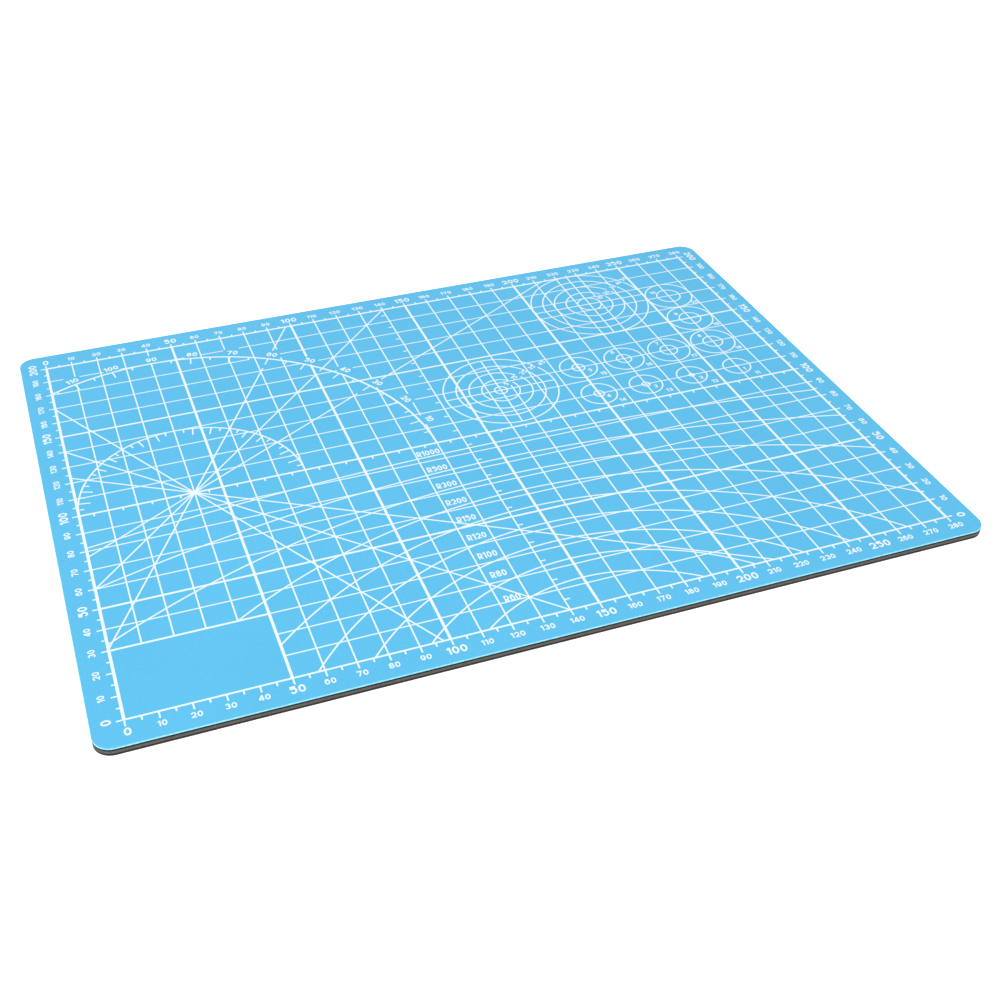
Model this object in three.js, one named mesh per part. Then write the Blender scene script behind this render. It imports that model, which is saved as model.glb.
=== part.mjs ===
// Self healing cutting mat, A4 nominal size, laid flat with its printed face up.
//
// The mat is a flat laminate of five sheets that are cut to shape together: a soft blue
// face that closes over knife cuts, a stiff core that stops the blade, a soft dark base,
// and a tie film on each side of the core. White ink is printed on the face.
//
// Millimetres, +Z up. The origin is the centre of the underside, +X runs along the long
// side and +Y along the short side, away from the edge where the long scale reads upright.

import * as THREE from "three";

// Driving dimensions.
const MAT_LENGTH = 300;
const MAT_WIDTH = 220;
const CORNER_RADIUS = 6;
const CORNER_SEGMENTS = 12;

const BASE_SKIN_THICKNESS = 0.65;
const LOWER_TIE_THICKNESS = 0.2;
const CORE_THICKNESS = 1.05;
const UPPER_TIE_THICKNESS = 0.65;
const FACE_SKIN_THICKNESS = 0.45;

const SCALE_LENGTH = 280;
const SCALE_WIDTH = 200;
const MAJOR_SPACING = 50;
const BORDER_LINE = 0.85;
const MAJOR_LINE = 0.8;
const TICK_LENGTH = 2.4;
const INK_THICKNESS = 0.04;

// A rectangle centred on the origin with round corners.
function roundedRectangle(length, width, radius) {
  const x = length / 2;
  const y = width / 2;
  const quarter = Math.PI / 2;
  const shape = new THREE.Shape();
  shape.absarc(x - radius, radius - y, radius, -quarter, 0);
  shape.absarc(x - radius, y - radius, radius, 0, quarter);
  shape.absarc(radius - x, y - radius, radius, quarter, 2 * quarter);
  shape.absarc(radius - x, radius - y, radius, 2 * quarter, 3 * quarter);
  shape.closePath();
  return shape;
}

// One sheet of the laminate, with its underside at the height given.
function makeSheet(name, bottom, thickness, material) {
  const outline = roundedRectangle(MAT_LENGTH, MAT_WIDTH, CORNER_RADIUS);
  const geometry = new THREE.ExtrudeGeometry(outline, {
    depth: thickness,
    bevelEnabled: false,
    curveSegments: CORNER_SEGMENTS,
  });
  const sheet = new THREE.Mesh(geometry, material);
  sheet.name = name;
  sheet.position.z = bottom;
  return sheet;
}

// The positions of a scale's heavy lines from its zero, with its far end last.
function linePositions(length) {
  const positions = [];
  for (let at = 0; at < length; at += MAJOR_SPACING) positions.push(at);
  positions.push(length);
  return positions;
}

// The two edges of every heavy line across one side of the grid, from the tip of the first
// run-on to the tip of the last. Every second interval between them is a line.
function lineEdges(length) {
  const edges = [-length / 2 - TICK_LENGTH];
  for (const at of linePositions(length)) {
    const isBorder = at === 0 || at === length;
    const half = (isBorder ? BORDER_LINE : MAJOR_LINE) / 2;
    edges.push(at - length / 2 - half, at - length / 2 + half);
  }
  edges.push(length / 2 + TICK_LENGTH);
  return edges;
}

// A flat body of ink on z = 0 made of rectangular cells that share their corners, so that
// the crossing lines are one closed body. A cell holds ink where either line covers it.
function inkGridGeometry(columns, rows, thickness) {
  const hasInk = (i, j) =>
    i >= 0 &&
    j >= 0 &&
    i < columns.length - 1 &&
    j < rows.length - 1 &&
    (i % 2 === 1 || j % 2 === 1);
  const corner = (i, j, top) => (j * columns.length + i) * 2 + top;
  const positions = [];
  for (const y of rows) {
    for (const x of columns) positions.push(x, y, 0, x, y, thickness);
  }
  const faces = [];
  const quad = (a, b, c, d) => faces.push(a, b, c, a, c, d);
  const wall = (i0, j0, i1, j1) =>
    quad(corner(i0, j0, 0), corner(i1, j1, 0), corner(i1, j1, 1), corner(i0, j0, 1));
  for (let j = 0; j < rows.length - 1; j += 1) {
    for (let i = 0; i < columns.length - 1; i += 1) {
      if (!hasInk(i, j)) continue;
      const around = [[i, j], [i + 1, j], [i + 1, j + 1], [i, j + 1]];
      quad(...around.map(([u, v]) => corner(u, v, 1)));
      quad(...around.map(([u, v]) => corner(u, v, 0)).reverse());
      if (!hasInk(i, j - 1)) wall(i, j, i + 1, j);
      if (!hasInk(i + 1, j)) wall(i + 1, j, i + 1, j + 1);
      if (!hasInk(i, j + 1)) wall(i + 1, j + 1, i, j + 1);
      if (!hasInk(i - 1, j)) wall(i, j + 1, i, j);
    }
  }
  const geometry = new THREE.BufferGeometry();
  geometry.setAttribute("position", new THREE.Float32BufferAttribute(positions, 3));
  geometry.setIndex(faces);
  const flatShaded = geometry.toNonIndexed();
  flatShaded.computeVertexNormals();
  return flatShaded;
}

// The printed border and the heavy grid lines, run on past the border as long ticks.
function makeGridPrint(bottom, material) {
  const columns = lineEdges(SCALE_LENGTH);
  const rows = lineEdges(SCALE_WIDTH);
  const geometry = inkGridGeometry(columns, rows, INK_THICKNESS);
  const print = new THREE.Mesh(geometry, material);
  print.name = "grid_print";
  print.position.z = bottom;
  return print;
}

const faceMaterial = new THREE.MeshStandardMaterial({
  color: 0x64c8f0,
  roughness: 0.6,
  metalness: 0,
});
const tieMaterial = new THREE.MeshStandardMaterial({
  color: 0x26292c,
  roughness: 0.8,
  metalness: 0,
});
const coreMaterial = new THREE.MeshStandardMaterial({
  color: 0x67625d,
  roughness: 0.75,
  metalness: 0,
});
const baseMaterial = new THREE.MeshStandardMaterial({
  color: 0x2b2b2a,
  roughness: 0.7,
  metalness: 0,
});
const inkMaterial = new THREE.MeshStandardMaterial({
  color: 0xf8fbfd,
  roughness: 0.55,
  metalness: 0,
});

const sheets = [
  ["base_skin", BASE_SKIN_THICKNESS, baseMaterial],
  ["lower_tie_film", LOWER_TIE_THICKNESS, tieMaterial],
  ["core_sheet", CORE_THICKNESS, coreMaterial],
  ["upper_tie_film", UPPER_TIE_THICKNESS, tieMaterial],
  ["face_skin", FACE_SKIN_THICKNESS, faceMaterial],
];

const mat = new THREE.Group();
let height = 0;
for (const [name, thickness, material] of sheets) {
  mat.add(makeSheet(name, height, thickness, material));
  height += thickness;
}
mat.add(makeGridPrint(height, inkMaterial));

export default mat;
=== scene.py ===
"""Self healing cutting mat: the looks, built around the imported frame.

The five sheets of the laminate are rebuilt with a slightly uneven cut edge and a rounded face
rim, and the white screen print is laid on the face as thin bodies of ink, one piece for each
family of marks.
Print sizes are in millimetres from the zero of the two printed scales; everything handed to
Blender is in metres in the part's own frame.
"""

import math
from collections import namedtuple

import bmesh
import bpy
from mathutils import Matrix, Vector, noise


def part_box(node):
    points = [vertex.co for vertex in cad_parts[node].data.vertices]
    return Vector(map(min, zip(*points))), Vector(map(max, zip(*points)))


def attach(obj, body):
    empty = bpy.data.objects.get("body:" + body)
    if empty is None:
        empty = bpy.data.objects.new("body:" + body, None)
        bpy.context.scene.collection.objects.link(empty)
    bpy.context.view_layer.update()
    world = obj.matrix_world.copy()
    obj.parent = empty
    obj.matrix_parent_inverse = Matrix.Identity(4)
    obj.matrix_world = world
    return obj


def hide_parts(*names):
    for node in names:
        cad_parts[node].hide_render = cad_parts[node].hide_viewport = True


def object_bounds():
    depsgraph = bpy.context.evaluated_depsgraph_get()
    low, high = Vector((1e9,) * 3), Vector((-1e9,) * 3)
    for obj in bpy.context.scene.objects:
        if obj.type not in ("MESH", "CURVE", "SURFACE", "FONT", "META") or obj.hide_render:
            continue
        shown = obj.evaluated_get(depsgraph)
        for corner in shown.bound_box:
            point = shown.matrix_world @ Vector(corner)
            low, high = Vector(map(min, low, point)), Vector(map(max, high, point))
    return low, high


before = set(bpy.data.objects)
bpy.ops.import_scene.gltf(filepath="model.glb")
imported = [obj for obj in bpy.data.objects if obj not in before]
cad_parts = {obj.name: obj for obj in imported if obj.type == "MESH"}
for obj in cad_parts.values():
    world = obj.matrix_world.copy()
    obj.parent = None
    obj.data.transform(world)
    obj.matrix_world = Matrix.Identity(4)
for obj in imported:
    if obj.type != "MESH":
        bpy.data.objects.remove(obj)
cad_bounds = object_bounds()

MM = 0.001

# ---------------------------------------------------------------- the mat, in millimetres

face_low, face_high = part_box("face_skin")
MAT_LENGTH = (face_high.x - face_low.x) / MM
MAT_WIDTH = (face_high.y - face_low.y) / MM
FACE_TOP = face_high.z / MM
CORNER_RADIUS = 6.0
CORNER_STEPS = 14
EDGE_STEP = 2.0
FACE_FILLET = 0.20
FILLET_STEPS = 5
CORE_BEVEL = 0.12
BASE_FILLET = 0.18
# How quickly the cut edge's wandering changes along the outline, and up the edge.
WANDER_ALONG = 0.35
WANDER_UP = 6

# ---------------------------------------------------------------- the print, in millimetres

GRID_LENGTH = 280
GRID_WIDTH = 200
FINE = 10
HEAVY = 50
GRID_ZERO = Vector(((face_low.x + face_high.x) / 2 / MM - GRID_LENGTH / 2,
                    (face_low.y + face_high.y) / 2 / MM - GRID_WIDTH / 2))

BOX_RIGHT = 50
BOX_TOP = 30
MIDDLE_X = GRID_LENGTH // 2
MIDDLE_Y = GRID_WIDTH // 2

FINE_LINE_X = 0.50
FINE_LINE_Y = 0.47
HEAVY_LINE = 0.92
LONG_BORDER = 0.66
BACK_BORDER = 0.88
SHORT_BORDER = 0.98
BOX_LINE = 0.78
THIN_LINE = 0.54
TICK_LINE = 0.52
SMALL_ARC_LINE = 0.60
LARGE_ARC_LINE = 0.78
HEAVY_ROW_SHARE = 0.88

# place(along, out) gives a point by its reading on the scale and its distance outside the
# border. The numbers are turned by so many degrees, and their centres lie shift further along
# than their line and out from the border.
Scale = namedtuple("Scale", "name length place long_tick short_tick turn shift out")
SCALES = (
    Scale("front", GRID_LENGTH, lambda along, out: (along, -out),
          long_tick=2.7, short_tick=1.7, turn=0, shift=0.3, out=4.9),
    Scale("back", GRID_LENGTH, lambda along, out: (along, GRID_WIDTH + out),
          long_tick=2.3, short_tick=1.4, turn=0, shift=0.2, out=4.7),
    Scale("left", GRID_WIDTH, lambda along, out: (-out, along),
          long_tick=2.3, short_tick=1.5, turn=90, shift=0.4, out=5.2),
    Scale("right", GRID_WIDTH, lambda along, out: (GRID_LENGTH + out, along),
          long_tick=2.3, short_tick=1.4, turn=-90, shift=-0.45, out=5.6),
)
MIDDLE_ROW_TICK = 1.7
MIDDLE_COLUMN_TICK = 2.0

SCALE_NUMBER_HEIGHT = 2.25
HEAVY_NUMBER_HEIGHT = 3.1
SCALE_NUMBER_WEIGHT = 0.19

INK_THICKNESS = 0.040
INK_SUNK = 0.020
# Families of marks lie INK_STEP apart in height, strokes that cross in one family STROKE_STEP,
# and the rays, which all meet in one point, RAY_STEP.
INK_STEP = 0.002
STROKE_STEP = 0.0004
RAY_STEP = STROKE_STEP / 3
# A grid line leaves out stretches shorter than SHORTEST_BAR. An arc's steps are no longer than
# ARC_CHORD millimetres and ARC_TURN degrees. A mitred corner is at most 1 / TIGHTEST_MITRE times
# as wide as its line.
SHORTEST_BAR = 0.3
ARC_CHORD = 1.6
ARC_TURN = 6
TIGHTEST_MITRE = 0.5

# The families of marks from the highest ink to the lowest, so that no two that cross have their
# tops at one height.
INK_ORDER = ("numbers", "columns", "rows", "scale_ticks", "arcs", "arc_ticks", "rays", "curves",
             "target_rings", "target_crosses", "hole_rings", "box_line")

PROTRACTOR_CENTRE = (40, 100)
SMALL_ARC_RADIUS = 40
LARGE_ARC_RADIUS = 90
ANGLE_LABEL_CENTRE = (40.5, 99.6)
ANGLE_LABEL_RADIUS = 93.4
ANGLE_LABEL_HEIGHT = 2.75
ANGLE_LABEL_WEIGHT = 0.20
ANGLE_LABEL_CLEAR = (3.2, 3.2)
ANGLE_TICK = 4.2
HALF_ANGLE_TICK = 2.1

# Where a ray that meets the large arc's ticks stops, and where it goes on outside the arc.
RAY_BREAKS = {30: (82.8, 96.4), 45: (84.0, LARGE_ARC_RADIUS), 60: (82.8, 96.4)}
RAY_LEANS = (30, 45, 60)

RADIUS_CURVE_X = 150
RADIUS_CURVE_FIRST_TOP = 13
RADIUS_CURVES = (60, 80, 100, 120, 150, 200, 300, 500, 1000)
RADIUS_LABEL_X = 124.9
RADIUS_LABEL_FIRST_Y = 11.5
RADIUS_LABEL_SECOND_Y = 23.8
RADIUS_LABEL_PITCH = 10.19
RADIUS_LABEL_HEIGHT = 3.15
RADIUS_LABEL_NARROW = 0.72
RADIUS_LABEL_WEIGHT = 0.155

# Short runs of two rows, beside the numbers 60 and 50, that are left out as well.
ROW_STUBS = (
    # middle of the run, and half its length
    ((81.2, 180), 3.3),
    ((97.0, 170), 0.4),
)
STUB_CLEAR_UP = 1.0

TARGET_STEP = 5.0
TARGETS = (
    # centre, radius of the first circle, and the centres of the numbers from the first circle on
    ((165, 125), 2.5,
     ((168.5, 128.4), (173.2, 131.8), (177.9, 134.1), (182.4, 136.3), (187.4, 138.1))),
    ((225, 175), 5.0,
     ((231.4, 178.4), (235.8, 181.6), (240.5, 185.2), (244.6, 187.8), (248.0, 190.1))),
)
TARGET_LABEL_HEIGHT = 2.1
TARGET_LABEL_WEIGHT = 0.18
TARGET_LABEL_CLEAR = (1.7, 1.4)
TARGET_LABEL_SLANT = 30
# Half the opening that a target's circle leaves where it crosses the row of numbers.
RING_GAP = 1.25

HOLE_LABEL_HEIGHT = 2.05
# How much wider the outer circle of a pair is than the inner one.
OUTER_HOLE_MORE = 10
HOLE_GAUGES = (
    # centre of each pair of circles, then from it to the inner and to the outer number
    ((260, 110), (2.0, -2.8), (5.4, -7.1)),
    ((240, 110), (2.7, -2.8), (6.6, -6.9)),
    ((220, 110), (3.0, -2.6), (6.9, -6.7)),
    ((200, 110), (2.9, -2.6), (6.9, -6.8)),
    ((200, 130), (3.7, -3.3), (7.8, -7.2)),
    ((220, 130), (-2.5, 5.8), (7.7, -7.2)),
    ((240, 130), (-2.4, 6.0), (7.8, -7.3)),
    ((260, 130), (-3.1, 5.7), (7.6, -7.7)),
    ((260, 150), (-4.1, 5.0), (8.0, -8.0)),
    ((260, 170), (-5.2, 4.6), (8.2, -8.4)),
)

# ---------------------------------------------------------------- colours, linear, and light

FACE_BLUE = (0.107, 0.528, 0.850)
FACE_BLUE_DEEP = (0.096, 0.505, 0.828)
# Pale cyan: the face's fine random flecks, and also a painted highlight along the cut rim of the
# face sheet.
FLECK_AND_RIM_HIGHLIGHT_CYAN = (0.34, 0.84, 0.95)
INK_WHITE = (0.86, 0.955, 0.975)
INK_THIN = (0.62, 0.83, 0.92)
CORE_GREY = (0.100, 0.083, 0.075)
CORE_GREY_DARK = (0.070, 0.059, 0.053)
CORE_PATCH = (0.092, 0.090, 0.076)
CORE_FLECK = (0.170, 0.152, 0.138)
FILM_BLACK = (0.010, 0.011, 0.013)
FILM_STREAK = (0.020, 0.022, 0.025)
BASE_CHARCOAL = (0.021, 0.020, 0.019)
BASE_CLOUD = (0.027, 0.026, 0.025)
BASE_RUB = (0.044, 0.043, 0.042)
FLOOR_WHITE = (0.97, 0.97, 0.97)
FLOOR_CLOUD = (0.94, 0.943, 0.945)
FLOOR_GLOW = 0.55
WORLD_STRENGTH = 0.70

# ---------------------------------------------------------------- stage and camera, in metres

FLOOR_SIZE = 14
FLOOR_GAP = 0.00002

CAMERA_PLACE = (-0.1410, -0.3858, 0.2923)
CAMERA_LENS = 48.73
CAMERA_SENSOR = 36
CAMERA_SHIFT = 0.0515
CAMERA_TURN_RIGHT = 19.37
CAMERA_LOOK_DOWN = 37.82
CAMERA_ROLL = -0.138


# ================================================================ node helpers


class Nodes:
    """Short calls for building one material's node tree."""

    def __init__(self, name):
        self.material = bpy.data.materials.new(name)
        self.material.use_nodes = True
        self.tree = self.material.node_tree
        self.shader = self.tree.nodes["Principled BSDF"]
        self.place = self.tree.nodes.new("ShaderNodeTexCoord").outputs["Object"]

    def add(self, kind, inputs=None, **settings):
        node = self.tree.nodes.new(kind)
        for key, value in settings.items():
            setattr(node, key, value)
        for key, value in (inputs or {}).items():
            self.put(node.inputs[key], value)
        return node

    def put(self, socket, value):
        if isinstance(value, bpy.types.NodeSocket):
            self.tree.links.new(value, socket)
        else:
            socket.default_value = value

    def noise(self, scale, detail=2.0, roughness=0.5, place=None):
        inputs = {"Vector": place or self.place, "Scale": scale, "Detail": detail,
                  "Roughness": roughness}
        return self.add("ShaderNodeTexNoise", inputs).outputs["Fac"]

    def pebbles(self, scale, randomness=1.0):
        inputs = {"Vector": self.place, "Scale": scale, "Randomness": randomness}
        return self.add("ShaderNodeTexVoronoi", inputs).outputs["Distance"]

    def stretched(self, x, y, z):
        inputs = {"Vector": self.place, "Scale": (x, y, z)}
        return self.add("ShaderNodeMapping", inputs).outputs["Vector"]

    def spread(self, value, low, high, from_low=0.3, from_high=0.7):
        inputs = {"Value": value, "From Min": from_low, "From Max": from_high,
                  "To Min": low, "To Max": high}
        return self.add("ShaderNodeMapRange", inputs).outputs["Result"]

    def blend(self, share, first, second):
        inputs = {"Factor": share}
        node = self.add("ShaderNodeMix", inputs, data_type="RGBA")
        self.put(node.inputs[6], first if not isinstance(first, tuple) else (*first, 1))
        self.put(node.inputs[7], second if not isinstance(second, tuple) else (*second, 1))
        return node.outputs[2]

    def bump(self, height, distance, strength=1.0, under=None):
        inputs = {"Height": height, "Distance": distance, "Strength": strength}
        if under is not None:
            inputs["Normal"] = under
        return self.add("ShaderNodeBump", inputs).outputs["Normal"]

    def finish(self, colour, roughness, normal=None, specular=0.4):
        self.put(self.shader.inputs["Base Color"], colour)
        self.put(self.shader.inputs["Roughness"], roughness)
        self.shader.inputs["Specular IOR Level"].default_value = specular
        if normal is not None:
            self.put(self.shader.inputs["Normal"], normal)
        return self.material


# ================================================================ materials


def make_face_vinyl():
    """Calendered soft vinyl: even colour with faint clouding and a fine pebbled matt grain."""
    n = Nodes("face_vinyl")
    clouds = n.spread(n.noise(14, detail=3), 0, 1, 0.35, 0.65)
    colour = n.blend(clouds, FACE_BLUE, FACE_BLUE_DEEP)
    flecks = n.spread(n.noise(1400, detail=1), 0, 0.08, 0.45, 0.75)
    colour = n.blend(flecks, colour, FLECK_AND_RIM_HIGHLIGHT_CYAN)
    rubbed = n.spread(n.noise(38, detail=4), 0.52, 0.64)
    grain = n.bump(n.pebbles(2600), 0.00002, 0.55)
    soft_waves = n.bump(n.noise(60, detail=2), 0.00006, 0.35, under=grain)
    return n.finish(colour, rubbed, soft_waves, specular=0.32)


def make_face_rim():
    """The cut and pressed rim of the face sheet, with a painted highlight: pale cyan in streaks,
    blending into the face blue.
    """
    n = Nodes("face_vinyl_rim_painted_highlight")
    drag = n.noise(1, detail=3, place=n.stretched(900, 900, 140))
    # Painted highlight: the rim's colour runs from pale cyan to the face's blue, so it is lighter
    # than the face.
    colour = n.blend(n.spread(drag, 0, 0.7), FLECK_AND_RIM_HIGHLIGHT_CYAN, FACE_BLUE)
    return n.finish(colour, n.spread(drag, 0.35, 0.55), n.bump(drag, 0.00003, 0.6), 0.5)


def make_film():
    """Dark bonding film, seen only as a line in the cut edge."""
    n = Nodes("tie_film")
    streaks = n.noise(1, detail=3, place=n.stretched(700, 700, 90))
    colour = n.blend(n.spread(streaks, 0, 1), FILM_BLACK, FILM_STREAK)
    return n.finish(colour, n.spread(streaks, 0.55, 0.8), n.bump(streaks, 0.00003, 0.5), 0.15)


def make_core():
    """Stiff recycled sheet: warm grey, flecked, with the upright drag marks of the die."""
    n = Nodes("core_plastic")
    drag = n.noise(1, detail=4, roughness=0.6, place=n.stretched(620, 620, 60))
    flecks = n.spread(n.noise(1700, detail=2), 0, 1, 0.5, 0.7)
    patches = n.spread(n.noise(90, detail=2), 0, 1)
    colour = n.blend(n.spread(drag, 0.0, 0.75), CORE_GREY, CORE_GREY_DARK)
    colour = n.blend(n.spread(patches, 0, 0.35), colour, CORE_PATCH)
    colour = n.blend(n.spread(flecks, 0, 0.3, 0, 1), colour, CORE_FLECK)
    return n.finish(colour, n.spread(drag, 0.55, 0.8), n.bump(drag, 0.00006, 0.8), 0.3)


def make_base_vinyl():
    """Dark grippy underside with a leather-like grain and light rub marks."""
    n = Nodes("base_vinyl")
    grain = n.pebbles(1100, 0.9)
    rubs = n.spread(n.noise(1, detail=4, place=n.stretched(30, 160, 30)), 0, 0.35, 0.5, 0.8)
    colour = n.blend(n.spread(n.noise(18, detail=3), 0, 1), BASE_CHARCOAL, BASE_CLOUD)
    colour = n.blend(rubs, colour, BASE_RUB)
    rough = n.spread(n.noise(45, detail=3), 0.55, 0.75)
    normal = n.bump(grain, 0.00007, 0.8)
    return n.finish(colour, rough, n.bump(n.noise(70), 0.0001, 0.3, under=normal), 0.35)


def make_ink():
    """Opaque white screen ink: slightly uneven cover, a little glossier than the vinyl."""
    n = Nodes("white_ink")
    cover = n.spread(n.noise(320, detail=3), 0, 0.10, 0.45, 0.8)
    colour = n.blend(cover, INK_WHITE, INK_THIN)
    rough = n.spread(n.noise(500, detail=2), 0.42, 0.58)
    return n.finish(colour, rough, n.bump(n.noise(2200, detail=1), 0.00001, 0.4), 0.4)


def make_floor():
    """White acrylic lit from below, as a light table for cut-out pictures is."""
    n = Nodes("floor_light_table")
    cloud = n.spread(n.noise(3, detail=2), 0, 0.15)
    colour = n.blend(cloud, FLOOR_WHITE, FLOOR_CLOUD)
    n.shader.inputs["Emission Color"].default_value = (1, 1, 1, 1)
    n.shader.inputs["Emission Strength"].default_value = FLOOR_GLOW
    return n.finish(colour, 0.9, specular=0.1)


# ================================================================ the laminate


def rounded_outline(inset):
    """Points round the mat's outline, pulled in by inset, with the straight runs divided."""
    half_x = MAT_LENGTH / 2 - inset
    half_y = MAT_WIDTH / 2 - inset
    radius = CORNER_RADIUS - inset
    corners = ((1, -1, -90), (1, 1, 0), (-1, 1, 90), (-1, -1, 180))
    points = []
    for sign_x, sign_y, first in corners:
        centre = Vector((sign_x * (half_x - radius), sign_y * (half_y - radius)))
        for step in range(CORNER_STEPS + 1):
            angle = math.radians(first + 90 * step / CORNER_STEPS)
            points.append(centre + radius * Vector((math.cos(angle), math.sin(angle))))
        run = (half_x if sign_x == sign_y else half_y) - radius
        count = round(2 * run / EDGE_STEP)
        along = Vector((-math.sin(angle), math.cos(angle)))
        last = points[-1]
        points.extend(last + along * (2 * run * k / count) for k in range(1, count))
    return points


def make_sheet(name, node, profile, ragged, materials):
    """One sheet of the laminate. profile runs from the underside to the top as (inset, height,
    rim), where rim marks the band above that point; ragged is how far the cut edge wanders."""
    mesh = bpy.data.meshes.new(name)
    shape = bmesh.new()
    loops = []
    for inset, height, _ in profile:
        ring = []
        for point in rounded_outline(inset):
            outward = point.normalized()
            sample = Vector((point.x * WANDER_ALONG, point.y * WANDER_ALONG, height * WANDER_UP))
            shift = ragged * noise.noise(sample)
            x, y = point + outward * min(shift, 0)
            ring.append(shape.verts.new((x * MM, y * MM, height * MM)))
        loops.append(ring)
    count = len(loops[0])
    for lower, upper, (_, _, rim) in zip(loops, loops[1:], profile):
        for k in range(count):
            following = (k + 1) % count
            face = shape.faces.new((lower[k], lower[following], upper[following], upper[k]))
            face.smooth = True
            face.material_index = 1 if rim else 0
    shape.faces.new(reversed(loops[0]))
    shape.faces.new(loops[-1])
    shape.to_mesh(mesh)
    shape.free()
    for material in materials:
        mesh.materials.append(material)
    sheet = bpy.data.objects.new(name, mesh)
    bpy.context.scene.collection.objects.link(sheet)
    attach(sheet, "root")
    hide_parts(node)


def heights(node):
    """The underside and the top of a CAD node."""
    low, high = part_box(node)
    return low.z / MM, high.z / MM


def make_laminate(face, rim, film, core, base):
    """The five sheets, from the face down. The films are pulled back a hair, as glue is."""
    low, high = heights("face_skin")
    profile = [(0.02, low, True)]
    for step in range(FILLET_STEPS + 1):
        turn = math.radians(90 * step / FILLET_STEPS)
        inset = FACE_FILLET * (1 - math.cos(turn))
        height = high - FACE_FILLET * (1 - math.sin(turn))
        profile.append((inset, height, step < FILLET_STEPS))
    # The cut side and the rounded rim take the rim material, which carries a painted highlight.
    make_sheet("face_skin_sheet", "face_skin", profile, 0.03, [face, rim])

    low, high = heights("upper_tie_film")
    profile = [(0.06, low, False), (0.09, (low + high) / 2, False), (0.06, high, False)]
    make_sheet("upper_tie_film_sheet", "upper_tie_film", profile, 0.04, [film])

    low, high = heights("core_sheet")
    profile = [(0.05, low, False), (0.0, low + CORE_BEVEL, False),
               (0.015, (low + high) / 2, False), (0.0, high - CORE_BEVEL, False),
               (0.04, high, False)]
    make_sheet("core_sheet_board", "core_sheet", profile, 0.09, [core])

    low, high = heights("lower_tie_film")
    profile = [(0.05, low, False), (0.08, (low + high) / 2, False), (0.05, high, False)]
    make_sheet("lower_tie_film_sheet", "lower_tie_film", profile, 0.04, [film])

    low, high = heights("base_skin")
    shoulder = BASE_FILLET * 0.3
    profile = [(BASE_FILLET, low, False), (shoulder, low + shoulder, False),
               (0.0, low + BASE_FILLET, False), (0.01, high, False)]
    make_sheet("base_skin_sheet", "base_skin", profile, 0.04, [base])


# ================================================================ ink


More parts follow.
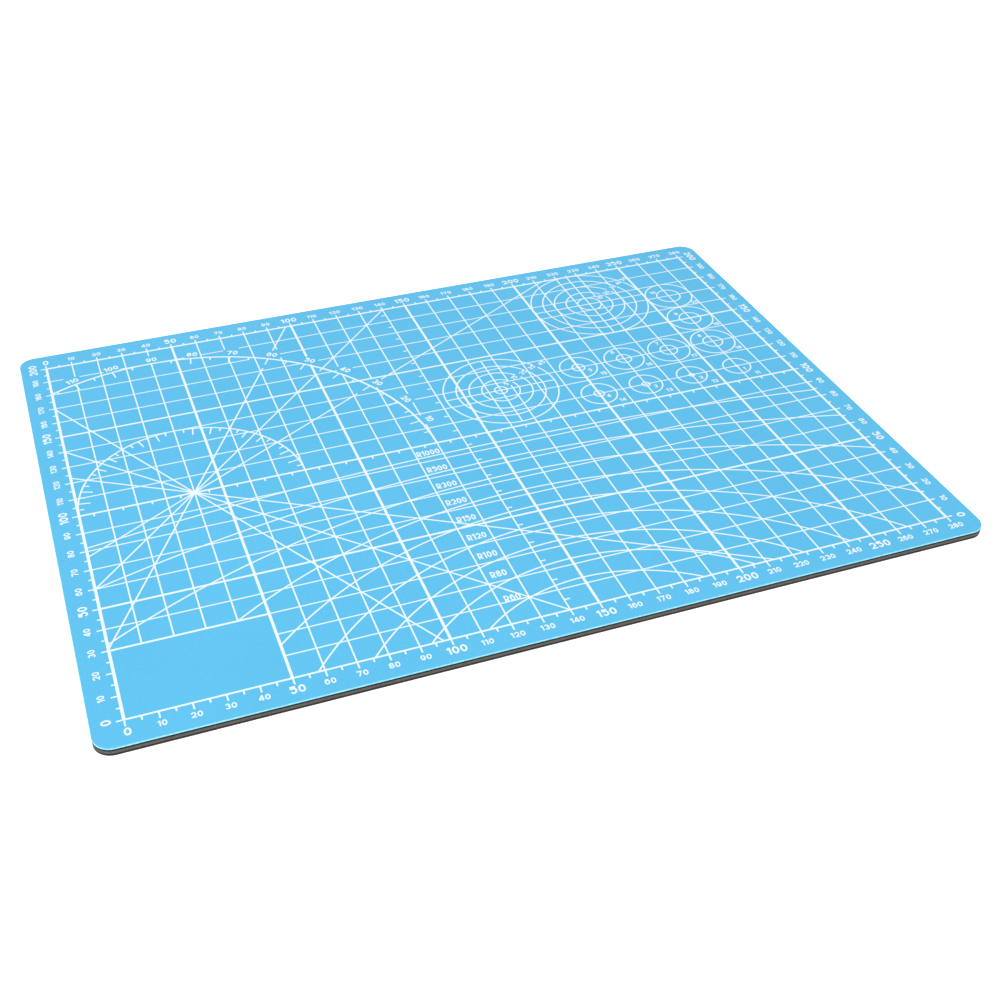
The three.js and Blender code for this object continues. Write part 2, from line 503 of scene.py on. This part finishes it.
class Ink:
    """One piece of the print: closed thin bodies of ink gathered into one mesh."""

    def __init__(self, name, family):
        self.name = name
        self.bottom = FACE_TOP - INK_SUNK
        self.top = FACE_TOP + INK_THICKNESS - INK_STEP * INK_ORDER.index(family)
        self.points = []
        self.faces = []

    def point(self, at, height):
        """Adds a point, measured from the zero of the scales, and gives its number."""
        self.points.append((at[0] + GRID_ZERO.x, at[1] + GRID_ZERO.y, height))
        return len(self.points) - 1

    def ribbon(self, right, left, closed=False):
        """A band between two rows of points, right and left of its direction of travel."""
        rows = []
        for a, b in zip(right, left):
            rows.append((self.point(a, self.bottom), self.point(b, self.bottom),
                         self.point(a, self.top), self.point(b, self.top)))
        pairs = list(zip(rows, rows[1:]))
        if closed:
            pairs.append((rows[-1], rows[0]))
        for here, there in pairs:
            self.faces.append((here[2], there[2], there[3], here[3]))
            self.faces.append((here[0], here[1], there[1], there[0]))
            self.faces.append((here[0], there[0], there[2], here[2]))
            self.faces.append((here[1], here[3], there[3], there[1]))
        if not closed:
            start, end = rows[0], rows[-1]
            self.faces.append((start[0], start[2], start[3], start[1]))
            self.faces.append((end[0], end[1], end[3], end[2]))

    def bar(self, start, end, width, lower=0.0):
        """A straight line from one point to another."""
        self.stroke([Vector(start), Vector(end)], width, lower=lower)

    def arc(self, centre, radius, first, last, width):
        """A curved line from one angle to another, in degrees anticlockwise from +X."""
        sweep = math.radians(last - first)
        by_length = math.ceil(abs(sweep) * radius / ARC_CHORD)
        by_turn = math.ceil(abs(last - first) / ARC_TURN)
        steps = max(2, by_length, by_turn)
        closed = abs(last - first) >= 360
        count = steps if closed else steps + 1
        turns = [math.radians(first) + sweep * k / steps for k in range(count)]
        outer = [polar(centre, radius + width / 2, turn) for turn in turns]
        inner = [polar(centre, radius - width / 2, turn) for turn in turns]
        self.ribbon(outer, inner, closed)

    def stroke(self, path, width, closed=False, lower=0.0):
        """A line of even width along a path, with its corners mitred. Its top lies lower than
        the family's by the amount given."""
        right, left = [], []
        count = len(path)
        for k, here in enumerate(path):
            before = path[k - 1] if k > 0 or closed else None
            after = path[(k + 1) % count] if k < count - 1 or closed else None
            ways = [(here - before).normalized()] if before is not None else []
            ways += [(after - here).normalized()] if after is not None else []
            along = sum(ways, Vector((0, 0))).normalized()
            side = Vector((-along.y, along.x))
            mitre = max(TIGHTEST_MITRE, side.dot(Vector((-ways[0].y, ways[0].x))))
            right.append(here - side * width / 2 / mitre)
            left.append(here + side * width / 2 / mitre)
        self.top -= lower
        self.ribbon(right, left, closed)
        self.top += lower

    def write(self, text, at, height, turn=0.0, width=1.0, weight=SCALE_NUMBER_WEIGHT):
        """Upright characters centred on a point, turned in degrees anticlockwise. The weight
        is the width of a stroke as a share of the height."""
        glyphs = [GLYPHS[character](weight / width) for character in text]
        reach = sum(glyph_width for glyph_width, _ in glyphs) + GLYPH_GAP * (len(glyphs) - 1)
        turned = Matrix.Rotation(math.radians(turn), 2)
        pen = -reach / 2
        for glyph_width, strokes in glyphs:
            for order, (path, closed) in enumerate(strokes):
                placed = [turned @ Vector(((pen + x) * width * height, (y - 0.5) * height))
                          + Vector(at) for x, y in path]
                self.stroke(placed, weight * height, closed, lower=STROKE_STEP * order)
            pen += glyph_width + GLYPH_GAP

    def lay(self, material, stands_for_grid=False):
        """Makes the piece, which rides on the mat."""
        mesh = bpy.data.meshes.new(self.name)
        mesh.from_pydata([Vector(p) * MM for p in self.points], [], self.faces)
        mesh.materials.append(material)
        mesh.update()
        piece = bpy.data.objects.new(self.name, mesh)
        bpy.context.scene.collection.objects.link(piece)
        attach(piece, "root")
        if stands_for_grid:
            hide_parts("grid_print")


def polar(centre, radius, turn):
    return Vector((centre[0] + radius * math.cos(turn), centre[1] + radius * math.sin(turn)))


# ---------------------------------------------------------------- characters
# Each character is one unit tall, drawn with the centre lines of its strokes. The weight is the
# width of a stroke as a share of the height, so that the outer edges stay inside the unit.

GLYPH_GAP = 0.13
DIGIT_WIDTH = 0.72
ONE_WIDTH = 0.40
BOW_TURN = 24


def bow(centre_x, centre_y, radius_x, radius_y, first, last):
    """Points along part of an ellipse, from one angle to another in degrees."""
    steps = max(4, math.ceil(abs(last - first) / BOW_TURN))
    turns = [math.radians(first + (last - first) * k / steps) for k in range(steps + 1)]
    return [(centre_x + radius_x * math.cos(t), centre_y + radius_y * math.sin(t)) for t in turns]


def draw_zero(weight):
    ring = bow(DIGIT_WIDTH / 2, 0.5, (DIGIT_WIDTH - weight) / 2, (1 - weight) / 2, 0, 360)
    return DIGIT_WIDTH, [(ring[:-1], True)]


def draw_one(weight):
    stem = ONE_WIDTH - weight / 2
    flag = [(stem - 0.02, 0.93), (weight * 0.2, 0.74)]
    return ONE_WIDTH, [([(stem, 0), (stem, 1)], False), (flag, False)]


def draw_two(weight):
    left, right, bottom = weight / 2, DIGIT_WIDTH - weight / 2, weight / 2
    radius = (right - left) / 2
    top = bow(DIGIT_WIDTH / 2, 1 - bottom - 0.28, radius, 0.28, 170, -35)
    return DIGIT_WIDTH, [(top + [(left + 0.03, bottom), (right + bottom, bottom)], False)]


def draw_three(weight):
    edge = weight / 2
    middle = 0.53
    upper_tall = (1 - edge - middle) / 2
    lower_tall = (middle - edge) / 2
    upper = bow(DIGIT_WIDTH / 2, middle + upper_tall, DIGIT_WIDTH / 2 - edge - 0.03, upper_tall,
                160, -90)
    lower = bow(DIGIT_WIDTH / 2, edge + lower_tall, DIGIT_WIDTH / 2 - edge, lower_tall, 90, -160)
    return DIGIT_WIDTH, [(upper, False), (lower, False)]


def draw_four(weight):
    stem = DIGIT_WIDTH * 0.74
    bar = 0.27
    slope = [(stem - weight * 0.2, 0.96), (weight * 0.3, bar)]
    return DIGIT_WIDTH, [([(stem, 0), (stem, 1)], False), ([(0, bar), (DIGIT_WIDTH, bar)], False),
                         (slope, False)]


def draw_five(weight):
    edge = weight / 2
    back = edge + 0.05
    tall = 0.31
    bowl = bow(DIGIT_WIDTH / 2, edge + tall, DIGIT_WIDTH / 2 - edge, tall, 140, -155)
    hook = [(DIGIT_WIDTH - edge, 1 - edge), (back, 1 - edge), (back - 0.02, edge + tall * 1.65)]
    return DIGIT_WIDTH, [(hook, False), (bowl, False)]


def draw_six(weight):
    edge = weight / 2
    tall = 0.31
    bowl = bow(DIGIT_WIDTH / 2, edge + tall, DIGIT_WIDTH / 2 - edge, tall, 0, 360)
    back = bow(DIGIT_WIDTH / 2, 0.5, DIGIT_WIDTH / 2 - edge, 0.5 - edge, 42, 200)
    return DIGIT_WIDTH, [(bowl[:-1], True), (back, False)]


def draw_seven(weight):
    edge = weight / 2
    path = [(0, 1 - edge), (DIGIT_WIDTH - edge, 1 - edge), (DIGIT_WIDTH * 0.36, 0)]
    return DIGIT_WIDTH, [(path, False)]


def draw_eight(weight):
    edge = weight / 2
    middle = 0.54
    upper_tall = (1 - edge - middle) / 2
    lower_tall = (middle - edge) / 2
    upper = bow(DIGIT_WIDTH / 2, middle + upper_tall, DIGIT_WIDTH / 2 - edge - 0.04, upper_tall,
                0, 360)
    lower = bow(DIGIT_WIDTH / 2, edge + lower_tall, DIGIT_WIDTH / 2 - edge, lower_tall, 0, 360)
    return DIGIT_WIDTH, [(upper[:-1], True), (lower[:-1], True)]


def draw_nine(weight):
    width, strokes = draw_six(weight)
    return width, [([(width - x, 1 - y) for x, y in path], closed) for path, closed in strokes]


def draw_r(weight):
    edge = weight / 2
    right = DIGIT_WIDTH - edge
    radius = 0.26
    round_x = right - radius
    waist = 1 - edge - 2 * radius
    bowl = [(edge, 1 - edge)] + bow(round_x, 1 - edge - radius, radius, radius, 90, -90)
    bowl.append((edge, waist))
    leg = [(round_x - 0.04, waist), (right, 0)]
    return DIGIT_WIDTH, [([(edge, 0), (edge, 1)], False), (bowl, False), (leg, False)]


GLYPHS = {
    "0": draw_zero, "1": draw_one, "2": draw_two, "3": draw_three, "4": draw_four,
    "5": draw_five, "6": draw_six, "7": draw_seven, "8": draw_eight, "9": draw_nine,
    "R": draw_r,
}

# ---------------------------------------------------------------- gaps round the numbers


class Clearing:
    """A rectangle round one number, square to the grid, that the grid lines stay out of."""

    def __init__(self, centre, half_wide, half_tall):
        self.low = (centre[0] - half_wide, centre[1] - half_tall)
        self.high = (centre[0] + half_wide, centre[1] + half_tall)

    def gap(self, start, end):
        """The stretch of a grid line inside the clearing, as two shares of its length."""
        along = 0 if start[1] == end[1] else 1
        across = 1 - along
        if not self.low[across] < start[across] < self.high[across]:
            return None
        length = end[along] - start[along]
        enter = (self.low[along] - start[along]) / length
        leave = (self.high[along] - start[along]) / length
        return (max(0, enter), min(1, leave)) if enter < 1 and leave > 0 else None


def angle_labels():
    """(number, centre, turn) for each number along the large protractor arc."""
    for angle in range(10, 120, 10):
        centre = polar(ANGLE_LABEL_CENTRE, ANGLE_LABEL_RADIUS, math.radians(angle))
        yield angle, centre, angle - 90


def target_labels():
    """(diameter, centre) for each number beside the circles of the two targets."""
    for _, first, places in TARGETS:
        for order, place in enumerate(places):
            yield round(2 * first) + FINE * order, place


def number_clearings():
    """The rectangles that both the columns and the rows stay out of."""
    clearings = [Clearing(centre, *ANGLE_LABEL_CLEAR) for _, centre, _ in angle_labels()]
    clearings += [Clearing(centre, *TARGET_LABEL_CLEAR) for _, centre in target_labels()]
    return clearings


def lay_line(ink, start, end, width, clearings):
    """A straight line that is left out where it crosses a clearing."""
    gaps = sorted(filter(None, (c.gap(start, end) for c in clearings)))
    start, end = Vector(start), Vector(end)
    reached = 0.0
    for enter, leave in gaps + [(1.0, 1.0)]:
        if (enter - reached) * (end - start).length > SHORTEST_BAR:
            ink.bar(start.lerp(end, reached), start.lerp(end, enter), width)
        reached = max(reached, leave)


# ================================================================ the printed families


def is_heavy(at):
    return at % HEAVY == 0


def column_width(x):
    if x == 0:
        return SHORT_BORDER
    return HEAVY_LINE if is_heavy(x) or x == GRID_LENGTH else FINE_LINE_X


def row_width(y):
    if y == 0:
        return LONG_BORDER
    if y == GRID_WIDTH:
        return BACK_BORDER
    return HEAVY_LINE * HEAVY_ROW_SHARE if is_heavy(y) else FINE_LINE_Y


def print_grid(ink_material):
    """The lines across the grid. The blank box and the numbers on the grid are kept clear."""
    clearings = number_clearings()
    columns = Ink("print_grid_columns", "columns")
    for x in range(0, GRID_LENGTH + 1, FINE):
        start = BOX_TOP if 0 < x < BOX_RIGHT else 0
        lay_line(columns, (x, start), (x, GRID_WIDTH), column_width(x), clearings)
    columns.lay(ink_material, stands_for_grid=True)

    rows = Ink("print_grid_rows", "rows")
    clearings += [Clearing(middle, half, STUB_CLEAR_UP) for middle, half in ROW_STUBS]
    for y in range(0, GRID_WIDTH + 1, FINE):
        start = BOX_RIGHT if 0 < y < BOX_TOP else 0
        lay_line(rows, (start, y), (GRID_LENGTH, y), row_width(y), clearings)
    rows.lay(ink_material)

    box_line = Ink("print_box_line", "box_line")
    box_line.bar((0, BOX_TOP), (BOX_RIGHT, BOX_TOP), BOX_LINE)
    box_line.lay(ink_material)


def print_ticks(ink_material):
    """The ticks outside the border, and the 5 mm ticks along the two middle lines."""
    ticks = Ink("print_scale_ticks", "scale_ticks")
    for scale in SCALES:
        for along in range(0, scale.length + 1, FINE // 2):
            reach = scale.long_tick if along % FINE == 0 else scale.short_tick
            ticks.bar(scale.place(along, 0), scale.place(along, reach), TICK_LINE)
    for x in range(FINE // 2, GRID_LENGTH, FINE):
        ticks.bar((x, MIDDLE_Y), (x, MIDDLE_Y - MIDDLE_ROW_TICK), TICK_LINE)
    for y in range(FINE // 2, GRID_WIDTH, FINE):
        reach = MIDDLE_COLUMN_TICK if y < MIDDLE_Y else -MIDDLE_COLUMN_TICK
        ticks.bar((MIDDLE_X, y), (MIDDLE_X + reach, y), TICK_LINE)
    ticks.lay(ink_material)


def print_scale_numbers(ink_material):
    """The four rows of numbers outside the border. Every fifth number is larger."""
    for scale in SCALES:
        numbers = Ink(f"print_numbers_{scale.name}", "numbers")
        for at in range(0, scale.length + 1, FINE):
            height = HEAVY_NUMBER_HEIGHT if is_heavy(at) else SCALE_NUMBER_HEIGHT
            centre = scale.place(at + scale.shift, scale.out)
            numbers.write(str(at), centre, height, scale.turn)
        numbers.lay(ink_material)


def print_protractor(ink_material):
    """Two arcs about one centre with a tick at each 5 degrees, and the numbers outside."""
    arcs = Ink("print_protractor_arcs", "arcs")
    arcs.arc(PROTRACTOR_CENTRE, SMALL_ARC_RADIUS, 0, 180, SMALL_ARC_LINE)
    large_end = math.degrees(math.acos(-PROTRACTOR_CENTRE[0] / LARGE_ARC_RADIUS))
    arcs.arc(PROTRACTOR_CENTRE, LARGE_ARC_RADIUS, 0, large_end, LARGE_ARC_LINE)
    arcs.lay(ink_material)

    ticks = Ink("print_protractor_ticks", "arc_ticks")
    for radius, last in ((SMALL_ARC_RADIUS, 175), (LARGE_ARC_RADIUS, 115)):
        for angle in range(5, last + 1, 5):
            reach = ANGLE_TICK if angle % 10 == 0 else HALF_ANGLE_TICK
            turn = math.radians(angle)
            outer = polar(PROTRACTOR_CENTRE, radius, turn)
            ticks.bar(polar(PROTRACTOR_CENTRE, radius - reach, turn), outer, TICK_LINE)
    ticks.lay(ink_material)

    numbers = Ink("print_angle_numbers", "numbers")
    for angle, centre, turn in angle_labels():
        numbers.write(str(angle), centre, ANGLE_LABEL_HEIGHT, turn,
                      weight=ANGLE_LABEL_WEIGHT)
    numbers.lay(ink_material)


def border_distance(turn):
    """How far a slanting ray from the protractor's centre runs before it meets the border."""
    directions = (math.cos(turn), math.sin(turn))
    distances = []
    for start, direction, far in zip(PROTRACTOR_CENTRE, directions, (GRID_LENGTH, GRID_WIDTH)):
        edge = far if direction > 0 else 0
        distances.append((edge - start) / direction)
    return min(distances)


def print_rays(ink_material):
    """Cutting guides at 30, 45 and 60 degrees in each quadrant. Those under the large arc
    stop short of its ticks and go on outside it. From the centre, each ray's top lies a little
    lower than the last one's, because they all meet there."""
    rays = Ink("print_angle_rays", "rays")
    angles = [quadrant + lean for quadrant in (0, 90, 180, 270) for lean in RAY_LEANS]
    for order, angle in enumerate(angles):
        turn = math.radians(angle)
        border = border_distance(turn)
        stop, resume = RAY_BREAKS.get(angle, (border, None))
        end = polar(PROTRACTOR_CENTRE, stop, turn)
        rays.bar(PROTRACTOR_CENTRE, end, THIN_LINE, RAY_STEP * order)
        if resume:
            rays.bar(polar(PROTRACTOR_CENTRE, resume, turn),
                     polar(PROTRACTOR_CENTRE, border, turn), THIN_LINE)
    rays.lay(ink_material)


def curve_reach(radius, centre_y, edge_x, meets_box):
    """The angle from the top at which a radius curve leaves the grid or meets the blank box."""
    reach = min(math.acos(max(-1, -centre_y / radius)), math.asin(min(1, edge_x / radius)))
    if meets_box:
        to_box = RADIUS_CURVE_X - BOX_RIGHT
        if to_box < radius:
            at_box = centre_y + math.sqrt(radius**2 - to_box**2)
            if 0 < at_box < BOX_TOP:
                reach = min(reach, math.asin(to_box / radius))
        if 0 < BOX_TOP - centre_y < radius:
            over_box = math.sqrt(radius**2 - (BOX_TOP - centre_y) ** 2)
            if to_box < over_box < RADIUS_CURVE_X:
                reach = min(reach, math.asin(over_box / radius))
    return math.degrees(reach)


def print_radius_curves(ink_material):
    """Nested curves of round radii, each 10 mm behind the last, with their radii beside them."""
    curves = Ink("print_radius_curves", "curves")
    numbers = Ink("print_radius_numbers", "numbers")
    for order, radius in enumerate(RADIUS_CURVES):
        top = RADIUS_CURVE_FIRST_TOP + FINE * order
        centre = (RADIUS_CURVE_X, top - radius)
        left = curve_reach(radius, centre[1], RADIUS_CURVE_X, meets_box=True)
        right = curve_reach(radius, centre[1], GRID_LENGTH - RADIUS_CURVE_X, meets_box=False)
        curves.arc(centre, radius, 90 - right, 90 + left, THIN_LINE)
        label_y = RADIUS_LABEL_SECOND_Y + (order - 1) * RADIUS_LABEL_PITCH
        if order == 0:
            label_y = RADIUS_LABEL_FIRST_Y
        numbers.write(f"R{radius}", (RADIUS_LABEL_X, label_y), RADIUS_LABEL_HEIGHT,
                      width=RADIUS_LABEL_NARROW, weight=RADIUS_LABEL_WEIGHT)
    curves.lay(ink_material)
    numbers.lay(ink_material)


def print_circle_gauges(ink_material):
    """Two targets of nested circles with their diameters along a slanting row. Each circle
    after the first is left open where it crosses the row."""
    rings = Ink("print_target_rings", "target_rings")
    crosses = Ink("print_target_crosses", "target_crosses")
    numbers = Ink("print_target_numbers", "numbers")
    for centre, first, places in TARGETS:
        for order in range(len(places)):
            radius = first + TARGET_STEP * order
            if order == 0:
                rings.arc(centre, radius, 0, 360, THIN_LINE)
                continue
            row = Vector(places[order]) + Vector(places[order - 1]) - 2 * Vector(centre)
            towards = math.degrees(math.atan2(row.y, row.x))
            open_half = math.degrees(RING_GAP / radius)
            rings.arc(centre, radius, towards + open_half, towards + 360 - open_half, THIN_LINE)
        reach = first + TARGET_STEP * (len(places) - 1)
        crosses.bar((centre[0], centre[1] - reach), (centre[0], centre[1] + reach), THIN_LINE)
        crosses.bar((centre[0] - reach, centre[1]), (centre[0] + reach, centre[1]), THIN_LINE,
                    STROKE_STEP)
    for diameter, place in target_labels():
        numbers.write(str(diameter), place, TARGET_LABEL_HEIGHT, TARGET_LABEL_SLANT,
                      weight=TARGET_LABEL_WEIGHT)
    rings.lay(ink_material)
    crosses.lay(ink_material)
    numbers.lay(ink_material)


def print_hole_gauges(ink_material):
    """Ten pairs of circles, 1 to 10 mm inside and 11 to 20 mm outside, along a bent row."""
    rings = Ink("print_hole_rings", "hole_rings")
    numbers = Ink("print_hole_numbers", "numbers")
    for inner, (centre, to_inner, to_outer) in enumerate(HOLE_GAUGES, start=1):
        outer = inner + OUTER_HOLE_MORE
        for diameter, to_number in ((inner, to_inner), (outer, to_outer)):
            rings.arc(centre, diameter / 2, 0, 360, THIN_LINE)
            place = Vector(centre) + Vector(to_number)
            numbers.write(str(diameter), place, HOLE_LABEL_HEIGHT)
    rings.lay(ink_material)
    numbers.lay(ink_material)


# ================================================================ floor, light and camera


def make_stage():
    place = (0, 0, cad_bounds[0].z - FLOOR_GAP)
    bpy.ops.mesh.primitive_plane_add(size=FLOOR_SIZE, location=place)
    floor = bpy.context.active_object
    floor.name = "floor"
    floor.data.materials.append(make_floor())


def add_softbox(name, place, size, watts):
    """A soft white light that faces the middle of the mat."""
    light = bpy.data.lights.new(name, "AREA")
    light.shape = "RECTANGLE"
    light.size, light.size_y = size
    light.energy = watts
    holder = bpy.data.objects.new(name, light)
    holder.location = place
    holder.rotation_euler = (-Vector(place)).to_track_quat("-Z", "Y").to_euler()
    bpy.context.scene.collection.objects.link(holder)


def make_lights():
    world = bpy.data.worlds.new("studio")
    world.use_nodes = True
    background = world.node_tree.nodes["Background"]
    background.inputs["Color"].default_value = (1, 1, 1, 1)
    background.inputs["Strength"].default_value = WORLD_STRENGTH
    bpy.context.scene.world = world
    add_softbox("key_softbox", (-0.8, -0.7, 1.3), size=(1.2, 1.0), watts=13.5)
    add_softbox("fill_softbox", (1.2, -0.6, 1.2), size=(1.2, 1.2), watts=0.6)


def make_camera():
    """A 49 mm lens in front of the mat's left side, looking down and a little to the right."""
    data = bpy.data.cameras.new("camera")
    data.lens = CAMERA_LENS
    data.sensor_width = CAMERA_SENSOR
    data.shift_x = CAMERA_SHIFT
    data.clip_start = 0.01
    data.clip_end = 50
    camera = bpy.data.objects.new("camera", data)
    camera.location = CAMERA_PLACE
    heading = math.radians(-CAMERA_TURN_RIGHT)
    pitch = math.radians(90 - CAMERA_LOOK_DOWN)
    roll = math.radians(CAMERA_ROLL)
    aim = Matrix.Rotation(heading, 4, "Z") @ Matrix.Rotation(pitch, 4, "X")
    camera.rotation_euler = (aim @ Matrix.Rotation(roll, 4, "Z")).to_euler()
    bpy.context.scene.collection.objects.link(camera)
    bpy.context.scene.camera = camera


# ================================================================ build

make_camera()
make_laminate(make_face_vinyl(), make_face_rim(), make_film(), make_core(), make_base_vinyl())
ink = make_ink()
print_grid(ink)
print_ticks(ink)
print_scale_numbers(ink)
print_protractor(ink)
print_rays(ink)
print_radius_curves(ink)
print_circle_gauges(ink)
print_hole_gauges(ink)
make_stage()
make_lights()

view_settings = bpy.context.scene.view_settings
view_settings.view_transform = "Standard"
view_settings.look = "None"
